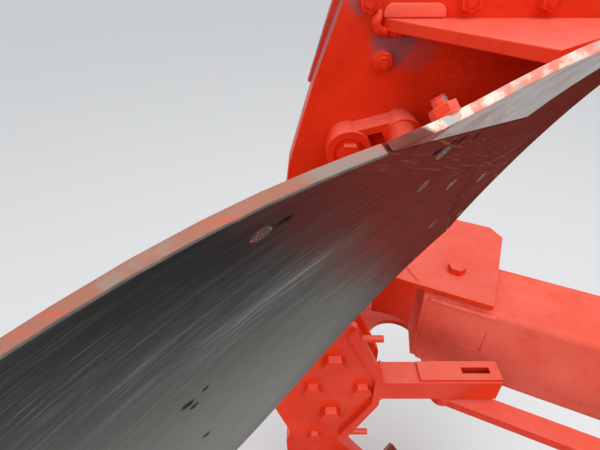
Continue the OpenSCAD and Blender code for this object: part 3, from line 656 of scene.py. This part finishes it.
class PLOUGH_OT_skins(bpy.types.Operator):
    """Makes the boards, shins and shares as smooth shells with rounded rims"""
    bl_idname = "plough.skins"
    bl_label = "Boards, shins and shares"

    def execute(self, context):
        steel = context.scene.plough_steel
        for side in BODIES:
            self.skin(side, "moldboard", "board", "edge", steel.rim, steel.rim)
            self.skin(side, "shin", "board", "edge", steel.rim, steel.rim)
            self.skin(side, "share", "share", "wing", steel.rim, steel.share_rim)
        return {"FINISHED"}

    def skin(self, side, part, front, edge, rim, corner):
        """Copies a solid, sorts its faces, rounds its corners and puts it in the solid's place"""
        node = f"{side}_{part}"
        piece = bpy.data.objects.new(node + "_skin", frame["nodes"][node].data.copy())
        bpy.context.scene.collection.objects.link(piece)
        take_up(piece)
        piece.data.materials.clear()
        for finish in (front, "red", edge, "board", "wing" if part == "share" else "corner"):
            piece.data.materials.append(FINISHES[finish])
        bpy.ops.object.mode_set(mode="EDIT")
        bpy.ops.mesh.select_all(action="SELECT")
        bpy.ops.mesh.remove_doubles(threshold=MERGE_AT)
        bpy.ops.mesh.tris_convert_to_quads(face_threshold=math.radians(20), shape_threshold=math.radians(60))
        bpy.ops.mesh.customdata_custom_splitnormals_clear()
        mesh = bmesh.from_edit_mesh(piece.data)
        middle = sum((v.co for v in mesh.verts), Vector()) / len(mesh.verts)
        for face in mesh.faces:
            face.material_index = SEAM if self.joins(side, part, face) else RIM
        for index, direction in ((FRONT, FORWARD_OUT), (BACK, -FORWARD_OUT)):
            bpy.ops.mesh.select_all(action="DESELECT")
            mesh = bmesh.from_edit_mesh(piece.data)
            face_toward(mesh, middle, direction).select = True
            bmesh.update_edit_mesh(piece.data)
            bpy.ops.mesh.faces_select_linked_flat(sharpness=FLAT_TURN)
            mesh = bmesh.from_edit_mesh(piece.data)
            for face in mesh.faces:
                if face.select:
                    face.material_index = index
        bpy.ops.mesh.select_mode(type="EDGE")
        bpy.ops.mesh.select_all(action="DESELECT")
        mesh = bmesh.from_edit_mesh(piece.data)
        for line in mesh.edges:
            line.select_set(sorted(face.material_index for face in line.link_faces) == [FRONT, RIM])
        bmesh.update_edit_mesh(piece.data)
        bpy.ops.mesh.bevel(offset=corner, segments=2, affect="EDGES", clamp_overlap=True, material=CORNER)
        bpy.ops.mesh.select_all(action="DESELECT")
        bpy.ops.mesh.edges_select_sharp(sharpness=RIM_TURN)
        bpy.ops.mesh.bevel(offset=rim, segments=2, affect="EDGES", clamp_overlap=True)
        bpy.ops.object.mode_set(mode="OBJECT")
        bpy.ops.object.shade_smooth_by_angle(angle=SMOOTH_TURN)
        keep(piece, node + "_skin", body_of(node))
        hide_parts(node)

    def joins(self, side, part, face):
        """Whether a face of the rim lies in the joint with the next part"""
        to_share = face.normal.z * BODIES[side]
        out = TRIP_PIN.y + PIN_OUT - face.calc_center_median().y
        if part == "share":
            return to_share < -0.5
        if part == "shin":
            return to_share > 0.5 or face.normal.y < -0.4
        return (to_share > 0.5 and out < WING_OUT) or face.normal.y > 0.4


# Paint and steel of the carried-over solids

class PLOUGH_OT_finishes(bpy.types.Operator):
    """Mixes the paint and steel, and gives the carried-over pieces theirs"""
    bl_idname = "plough.finishes"
    bl_label = "Paint and steel"

    def execute(self, context):
        paint = context.scene.plough_paint
        steel = context.scene.plough_steel
        FINISHES["red"] = red_paint(paint)
        FINISHES["painted_sheen"] = red_paint(paint, PAINTED_SHEEN)
        FINISHES["leg"] = leg_paint(paint)
        FINISHES["edge"] = edge_paint(paint)
        FINISHES["wing"] = wing_steel(steel)
        FINISHES["corner"] = corner_steel()
        FINISHES["board"] = board_steel(steel)
        FINISHES["share"] = share_steel(steel)
        FINISHES["bare"] = bare_steel(steel)
        FINISHES["soil"] = packed_soil()
        FINISHES["bolt"] = bolt_face(steel, paint)
        FINISHES["sprayed"] = sprayed_thread(paint)
        FINISHES["landside"] = landside_paint(paint, steel)
        for finish, nodes in (
                ("red", RED_PARTS), ("painted_sheen", PAINTED_SHEEN_PARTS), ("leg", LEGS),
                ("bare", PLAIN_STEEL), ("landside", LANDSIDES)):
            for name in nodes:
                piece = frame["nodes"][name]
                piece.data.materials.clear()
                piece.data.materials.append(FINISHES[finish])
                self.soften(piece, paint.soften)
        return {"FINISHED"}

    def soften(self, piece, width):
        """Rounds a solid's edges by modifiers and leaves its mesh alone"""
        weld = piece.modifiers.new("merge", "WELD")
        weld.merge_threshold = MERGE_AT
        bevel = piece.modifiers.new("edges", "BEVEL")
        bevel.width = width
        bevel.segments = 2
        bevel.limit_method = "ANGLE"
        bevel.angle_limit = SMOOTH_TURN
        bevel.use_clamp_overlap = True
        bevel.harden_normals = False


# Nuts, bolt ends and board bolts

NUT_ACROSS, NUT_HIGH = 0.019, 0.009
NUT_CHAMFER, NUT_FACE, NUT_DISH = 0.0013, 0.0022, 0.0006
WASHER_R, WASHER_THICK, WASHER_ROUND = NUT_ACROSS * 0.585, 0.0018, 0.0006
BOLT_R, BOLT_PROUD = 0.006, 0.0022
END_RISE, END_SCALE, END_RIM, END_DISH = 0.0010, 0.86, 0.0014, 0.0004
LEG_NUTS = (
    # back, high
    (-0.0888, 0.085), (-0.070, 0.028), (-0.170, 0.027), (-0.250, 0.027),
)
LEG_NUT_TURN = 0.3
WING_BOLT_OUT, WING_BOLT_HIGH = 0.270, 0.065
WING_SIZE = 0.84
WING_NUT_TURN = 0.5
THREAD_RISE, THREAD_PITCH = 0.0125, 0.0022
THREAD_PLAIN, THREAD_ROOT, THREAD_TIP = 0.35, 0.90, 0.0009
BOARD_BOLT_R, BOARD_BOLT_THICK = 0.0078, 0.0009
BOARD_BOLT_RINGS = (
    # inward, rise, scale
    (0.0008, -0.0004, 0.97), (0.0016, 0.0005, 0.94), (0.0022, -0.0003, 0.9),
)
BOARD_BOLT_RIM, BOARD_BOLT_SOIL = 0.0010, 0.0028
BOARD_BOLTS = (
    # outward, high
    (0.3436, 0.0923), (0.0852, 0.2051), (0.1596, 0.1708), (0.2376, 0.0986),
    (0.022, 0.300), (0.110, 0.255), (0.215, 0.140), (0.425, 0.255),
)
BOARD_BOLT_SIZE = 0.88
BOARD_BOLT_SUNK = 0.0003
SHIN_OUT = 0.10
IN_FRONT, BEHIND = 1.0, 0.06


def begin(vertices, radius, deep):
    """Starts a piece from a prism that stands on the origin along Z, in edit mode with nothing selected"""
    deselect()
    middle = (0, 0, deep / 2)
    bpy.ops.mesh.primitive_cylinder_add(vertices=vertices, radius=radius, depth=deep, location=middle)
    piece = bpy.context.active_object
    bpy.ops.object.transform_apply(location=True)
    bpy.ops.object.mode_set(mode="EDIT")
    bpy.ops.mesh.select_all(action="DESELECT")
    return piece


def pick_top(piece):
    """Selects, in edit mode, the faces that look up at the top of a piece"""
    mesh = bmesh.from_edit_mesh(piece.data)
    top = max(v.co.z for v in mesh.verts)
    for face in mesh.faces:
        face.select_set(face.normal.z > 0.9 and face.calc_center_median().z > top - 1e-6)
    mesh.select_flush_mode()
    bmesh.update_edit_mesh(piece.data)


def extrude(rise, scale=1.0):
    """Extrudes the selected faces upward and scales their end"""
    bpy.ops.mesh.extrude_region_move(TRANSFORM_OT_translate={"value": (0, 0, rise)})
    if scale != 1.0:
        bpy.ops.transform.resize(value=(scale, scale, 1))


def done(piece, angle=35):
    """Closes a shape after edit mode and shades it"""
    bpy.ops.mesh.select_all(action="SELECT")
    bpy.ops.mesh.remove_doubles(threshold=1e-6)
    bpy.ops.mesh.normals_make_consistent(inside=False)
    bpy.ops.object.mode_set(mode="OBJECT")
    bpy.ops.object.shade_smooth_by_angle(angle=math.radians(angle))
    return piece


def model_nut():
    """A hex nut with a turned face, a washer under it and the bolt's chamfered end in it"""
    nut = begin(6, NUT_ACROSS / 2 / math.cos(math.radians(30)), NUT_HIGH)
    pick_top(nut)
    bpy.ops.mesh.bevel(offset=NUT_CHAMFER, segments=3, affect="EDGES")
    pick_top(nut)
    bpy.ops.mesh.inset(thickness=NUT_FACE)
    extrude(-NUT_DISH)
    done(nut, 40)
    washer = begin(32, WASHER_R, WASHER_THICK)
    pick_top(washer)
    bpy.ops.mesh.bevel(offset=WASHER_ROUND, segments=2, affect="EDGES")
    done(washer)
    end = begin(28, BOLT_R, NUT_HIGH + BOLT_PROUD)
    pick_top(end)
    extrude(END_RISE, END_SCALE)
    bpy.ops.mesh.inset(thickness=END_RIM)
    extrude(-END_DISH)
    done(end)
    return fuse((nut, washer, end))


def model_thread():
    """A bolt end with its thread showing on the outer part of its rise"""
    end = begin(28, BOLT_R, THREAD_RISE * THREAD_PLAIN)
    for turn in range(int(THREAD_RISE * (1 - THREAD_PLAIN) / THREAD_PITCH)):
        pick_top(end)
        for scale in (THREAD_ROOT, 1.0, 1 / THREAD_ROOT, 1.0):
            extrude(THREAD_PITCH / 4, scale)
    pick_top(end)
    extrude(THREAD_TIP, END_SCALE)
    return done(end, 25)


def model_board_bolt():
    """A countersunk plough bolt, worn nearly flush: a rubbed rim, a ring of packed soil and a painted face"""
    bolt = begin(36, BOARD_BOLT_R, BOARD_BOLT_THICK)
    pick_top(bolt)
    for inward, rise, scale in BOARD_BOLT_RINGS:
        bpy.ops.mesh.inset(thickness=inward)
        extrude(rise, scale)
    for finish in ("corner", "soil", "bolt"):
        bolt.data.materials.append(FINISHES[finish])
    mesh = bmesh.from_edit_mesh(bolt.data)
    for face in mesh.faces:
        inward = BOARD_BOLT_R - face.calc_center_median().xy.length
        face.material_index = sum(inward >= limit for limit in (BOARD_BOLT_RIM, BOARD_BOLT_SOIL))
    bmesh.update_edit_mesh(bolt.data)
    return done(bolt, 30)


def fuse(pieces):
    """Joins pieces into the first"""
    deselect()
    for piece in pieces:
        piece.select_set(True)
    bpy.context.view_layer.objects.active = pieces[0]
    bpy.ops.object.join()
    return pieces[0]


def on_front(node, side, out, high):
    """Place and direction of the front face of a shell at a width and height"""
    skin = bpy.data.objects[node + "_skin"]
    hit, place, normal, _ = skin.ray_cast(spot(side, -IN_FRONT, out, high), Vector((-1, 0, 0)))
    if not hit:
        raise RuntimeError(f"{node} has nothing at width {out} and height {high}")
    return place, normal


def on_back(node, side, out, high):
    """Place and direction of the back face of a shell behind a point of its front"""
    place, normal = on_front(node, side, out, high)
    skin = bpy.data.objects[node + "_skin"]
    hit, behind, turned, _ = skin.ray_cast(place - normal * BEHIND, normal)
    if not hit:
        raise RuntimeError(f"{node} has no back at width {out} and height {high}")
    return behind, turned


class PLOUGH_OT_fasteners(bpy.types.Operator):
    """Adds the leg's nuts, the share's bolt ends and the boards' countersunk bolts"""
    bl_idname = "plough.fasteners"
    bl_label = "Nuts and bolts"

    def execute(self, context):
        nut = model_nut()
        thread = model_thread()
        board_bolt = model_board_bolt()
        for side in BODIES:
            body = f"{side}_body"
            for number, (back, high) in enumerate(LEG_NUTS):
                piece = copy_to(nut, spot(side, back, LEG_FACE, high), (0, -1, 0), LEG_NUT_TURN + number)
                keep(piece, f"{side}_leg_nut_{number + 1}", body, "red")
            behind, normal = on_back(f"{side}_share", side, WING_BOLT_OUT, WING_BOLT_HIGH)
            piece = copy_to(nut, behind, normal, WING_NUT_TURN, WING_SIZE)
            keep(piece, f"{side}_wing_nut", body, "red")
            piece = copy_to(thread, behind + normal * NUT_HIGH * WING_SIZE, normal, size=WING_SIZE)
            keep(piece, f"{side}_wing_bolt_end", body, "sprayed")
            for number, (out, high) in enumerate(BOARD_BOLTS):
                node = f"{side}_shin" if out < SHIN_OUT else f"{side}_moldboard"
                place, normal = on_front(node, side, out, high)
                piece = copy_to(board_bolt, place - normal * BOARD_BOLT_SUNK, normal, size=BOARD_BOLT_SIZE)
                keep(piece, f"{side}_board_bolt_{number + 1}", body)
        for model in (nut, thread, board_bolt):
            bpy.data.objects.remove(model)
        return {"FINISHED"}


# Pad on the sole

PAD_FROM, PAD_TO, PAD_TOP, PAD_FOOT, PAD_OUT = -0.085, -0.148, 0.0290, 0.0425, 0.0055
PAD_CORNER, PAD_EDGE = 0.0095, 0.0018


class PLOUGH_OT_pads(bpy.types.Operator):
    """Lays the flat pad with rounded corners where each sole meets its leg"""
    bl_idname = "plough.pads"
    bl_label = "Sole pads"

    def execute(self, context):
        for side in BODIES:
            deselect()
            middle = spot(side, (PAD_FROM + PAD_TO) / 2, LEG_FACE + PAD_OUT / 2, (PAD_TOP + PAD_FOOT) / 2)
            bpy.ops.mesh.primitive_cube_add(size=1.0, location=middle)
            pad = context.active_object
            bpy.ops.transform.resize(value=(PAD_FROM - PAD_TO, PAD_OUT, PAD_FOOT - PAD_TOP))
            bpy.ops.object.transform_apply(location=True, rotation=True, scale=True)
            bpy.ops.object.mode_set(mode="EDIT")
            bpy.ops.mesh.select_mode(type="EDGE")
            self.pick_corners(pad, abs(middle.z))
            bpy.ops.mesh.bevel(offset=PAD_CORNER, segments=8, affect="EDGES")
            bpy.ops.mesh.select_all(action="DESELECT")
            bpy.ops.mesh.edges_select_sharp(sharpness=math.radians(50))
            bpy.ops.mesh.bevel(offset=PAD_EDGE, segments=3, affect="EDGES")
            done(pad)
            # The pad's red is paled all over by painted sheen
            keep(pad, f"{side}_sole_pad", f"{side}_body", "painted_sheen")
        return {"FINISHED"}

    def pick_corners(self, pad, middle):
        """Selects the two edges through the pad's thickness that lie further from the beam than its middle"""
        mesh = bmesh.from_edit_mesh(pad.data)
        for line in mesh.edges:
            a, b = (corner.co for corner in line.verts)
            line.select_set(abs(a.y - b.y) > 1e-4 and min(abs(a.z), abs(b.z)) > middle)
        bmesh.update_edit_mesh(pad.data)


# Weld beads

RIPPLE_STEP = 0.55
RIPPLE_LONG, RIPPLE_WIDE, RIPPLE_HIGH = 0.62, 0.5, 0.42
BEAD_VOXEL, FINEST_VOXEL = 0.11, 0.0007


def model_bead(path, size):
    """A rippled bead along a path: overlapping drops, made uneven by two waves and fused into one skin"""
    deselect()
    ripples = []
    for start, end in zip(path, path[1:]):
        run = end - start
        lean = run.to_track_quat("X", "Z").to_matrix().to_4x4()
        count = max(2, round(run.length / (RIPPLE_STEP * size)))
        for step in range(count):
            bpy.ops.mesh.primitive_uv_sphere_add(segments=12, ring_count=8, radius=1.0)
            ripple = bpy.context.active_object
            uneven = 1 + 0.14 * math.sin(7.3 * step + 31 * start.x) + 0.08 * math.sin(17.1 * step)
            shape = Matrix.Diagonal((
                RIPPLE_LONG * size, RIPPLE_WIDE * size * uneven, RIPPLE_HIGH * size * uneven, 1))
            ripple.data.transform(Matrix.Translation(start + run * (step + 0.5) / count) @ lean @ shape)
            ripples.append(ripple)
    bead = fuse(ripples)
    remesh = bead.modifiers.new("fused", "REMESH")
    remesh.mode = "VOXEL"
    remesh.voxel_size = max(FINEST_VOXEL, BEAD_VOXEL * size)
    take_up(bead)
    bpy.ops.object.modifier_apply(modifier="fused")
    bpy.ops.object.shade_smooth()
    return bead


WELD_FACE = LEG_FACE + 0.001
WEB_END, SEAM_UP = PLATE_TOP - 0.013, 0.0905
BEAM_WIDE, BEAM_TALL, BEAM_CORNER = 0.075, 0.100, 0.010


def flange_ring():
    """Corners of the weld round the beam behind its flange"""
    wide, tall, corner = BEAM_WIDE, BEAM_TALL, BEAM_CORNER
    ring = [(-wide, corner - tall), (corner - wide, -tall), (wide - corner, -tall), (wide, corner - tall),
            (wide, tall - corner), (wide - corner, tall), (corner - wide, tall), (-wide, tall - corner)]
    return [on_beam(FLANGE_THICK + 0.001, *place) for place in (*ring, ring[0])]


def body_welds(side):
    """Name, body, size, finish and path of the welds that join a sole to its leg"""
    body = f"{side}_body"
    return [
        (f"{side}_sole_weld", body, 0.009, "red", [
            spot(side, -0.088, WELD_FACE, 0.0575), spot(side, -0.140, WELD_FACE, 0.0570),
            spot(side, -0.300, WELD_FACE, 0.0570)]),
        (f"{side}_sole_weld_end", body, 0.0125, "red", [
            spot(side, -0.0800, WELD_FACE, 0.0400), spot(side, -0.0770, WELD_FACE + 0.004, 0.0465),
            spot(side, -0.0805, WELD_FACE + 0.003, 0.0545), spot(side, -0.0900, WELD_FACE, 0.0570)]),
    ]


def frame_welds():
    """Name, body, size, finish and path of the welds of the beam and its bracket"""
    # The plate's weld and the beam's seams take the red paled by painted sheen, a painted highlight along
    # them
    welds = [
        ("plate_weld", "bracket", 0.0115, "painted_sheen", [
            row(0.224, 0.153, PLATE_TOP), row(0.241, 0.107, PLATE_TOP)]),
    ]
    for where, sign in (("top", 1), ("bottom", -1)):
        welds.append((f"web_weld_{where}", "bracket", 0.008, "red", [
            row(-0.015, 0.012, sign * WEB_END), row(-0.015, 0.104, sign * WEB_END)]))
        welds.append((f"beam_seam_{where}", "beam", 0.012, "painted_sheen", [
            row(0.264, 0.0820, sign * SEAM_UP), row(0.372, 0.0312, sign * SEAM_UP)]))
    welds.append(("arm_weld", "bracket", 0.007, "red", [
        row(0.1505, -0.024, 0.0315), row(0.1505, -0.0655, 0.0315), row(0.1505, -0.0660, -0.024)]))
    welds.append(("flange_weld", "beam", 0.009, "red", flange_ring()))
    return welds


class PLOUGH_OT_welds(bpy.types.Operator):
    """Lays the weld beads of the soles, the plates and the beam"""
    bl_idname = "plough.welds"
    bl_label = "Welds"

    def execute(self, context):
        for name, body, size, finish, path in sum((body_welds(side) for side in BODIES), []) + frame_welds():
            keep(model_bead(path, size), name, body, finish)
        return {"FINISHED"}


# Camera, floor and light

FLOOR_SEEN = (0.70, 0.70, 0.70)
FLOOR_BOUNCE = (0.32, 0.32, 0.32)
FLOOR_SIZE = 24
SKY, SKY_STRENGTH = (0.95, 0.975, 1.0), 0.85
AIMED_AT = Vector((-0.5, 0, 0))
LAMPS = (
    # name, place, size, watts
    ("sky", (0.3, -0.6, 3.0), 3.2, 60),
    ("left", (-2.6, -2.0, 1.2), 1.8, 17),
    ("low front", (0.8, -2.6, 0.2), 1.6, 15),
)


def pale_floor():
    """Floor that looks pale and sends little light back"""
    pale = bpy.data.materials.new("pale floor")
    pale.use_nodes = True
    tree = pale.node_tree
    shader = tree.nodes["Principled BSDF"]
    shader.inputs["Roughness"].default_value = 0.8
    rays = tree.nodes.new("ShaderNodeLightPath")
    seen = rays.outputs["Is Camera Ray"]
    for kind in ("Is Glossy Ray", "Is Transmission Ray"):
        either = tree.nodes.new("ShaderNodeMath")
        either.operation = "MAXIMUM"
        tree.links.new(seen, either.inputs[0])
        tree.links.new(rays.outputs[kind], either.inputs[1])
        seen = either.outputs[0]
    tone = tree.nodes.new("ShaderNodeMix")
    tone.data_type = "RGBA"
    tree.links.new(seen, tone.inputs["Factor"])
    for name, value in (("A", FLOOR_BOUNCE), ("B", FLOOR_SEEN)):
        next(s for s in tone.inputs if s.name == name and s.type == "RGBA").default_value = (*value, 1)
    tree.links.new(next(s for s in tone.outputs if s.type == "RGBA"), shader.inputs["Base Color"])
    return pale


class PLOUGH_OT_stage(bpy.types.Operator):
    """Adds the camera, the pale floor and the studio light"""
    bl_idname = "plough.stage"
    bl_label = "Camera, floor and light"

    def execute(self, context):
        look = context.scene.plough_stage
        camera = bpy.data.cameras.new("camera")
        camera.sensor_width = 36.0
        camera.lens = look.lens
        camera.clip_start = 0.01
        holder = bpy.data.objects.new("camera", camera)
        holder.location = look.place
        holder.rotation_euler = (math.radians(90) - look.pitch, 0, 0)
        context.scene.collection.objects.link(holder)
        context.scene.camera = holder

        low = cad_box[0].z - look.floor_drop
        bpy.ops.mesh.primitive_plane_add(size=FLOOR_SIZE, location=(0, 0, low))
        floor = context.active_object
        floor.name = "floor"
        floor.data.materials.append(pale_floor())

        for name, place, size, watts in LAMPS:
            lamp = bpy.data.lights.new(name, "AREA")
            lamp.size = size
            lamp.energy = watts
            light = bpy.data.objects.new(name, lamp)
            light.location = place
            light.rotation_euler = (AIMED_AT - Vector(place)).to_track_quat("-Z", "Y").to_euler()
            context.scene.collection.objects.link(light)

        world = bpy.data.worlds.new("sky")
        world.use_nodes = True
        world.node_tree.nodes["Background"].inputs["Color"].default_value = (*SKY, 1)
        world.node_tree.nodes["Background"].inputs["Strength"].default_value = SKY_STRENGTH
        context.scene.world = world
        context.scene.view_settings.view_transform = "Standard"
        return {"FINISHED"}


class PLOUGH_PT_panel(bpy.types.Panel):
    """Lists the steps that dress the unit, and the sizes and colours that they use"""
    bl_label = "Furrow unit"
    bl_idname = "PLOUGH_PT_panel"
    bl_space_type = "VIEW_3D"
    bl_region_type = "UI"
    bl_category = "Plough"

    def draw(self, context):
        for step in STEPS:
            self.layout.operator(step.bl_idname)
        for group, holder in GROUPS.items():
            box = self.layout.box()
            for name in group.__annotations__:
                box.prop(getattr(context.scene, holder), name)


GROUPS = {PaintSettings: "plough_paint", SteelSettings: "plough_steel", StageSettings: "plough_stage"}
STEPS = (
    PLOUGH_OT_stage, PLOUGH_OT_finishes, PLOUGH_OT_skins,
    PLOUGH_OT_fasteners, PLOUGH_OT_pads, PLOUGH_OT_welds)


def register():
    for group, name in GROUPS.items():
        bpy.utils.register_class(group)
        setattr(bpy.types.Scene, name, bpy.props.PointerProperty(type=group))
    for step in (*STEPS, PLOUGH_PT_panel):
        bpy.utils.register_class(step)


def unregister():
    for step in reversed((*STEPS, PLOUGH_PT_panel)):
        bpy.utils.unregister_class(step)
    for group, name in GROUPS.items():
        delattr(bpy.types.Scene, name)
        bpy.utils.unregister_class(group)


def main():
    register()
    for step in STEPS:
        family, name = step.bl_idname.split(".")
        getattr(getattr(bpy.ops, family), name)()


if __name__ == "__main__":
    main()
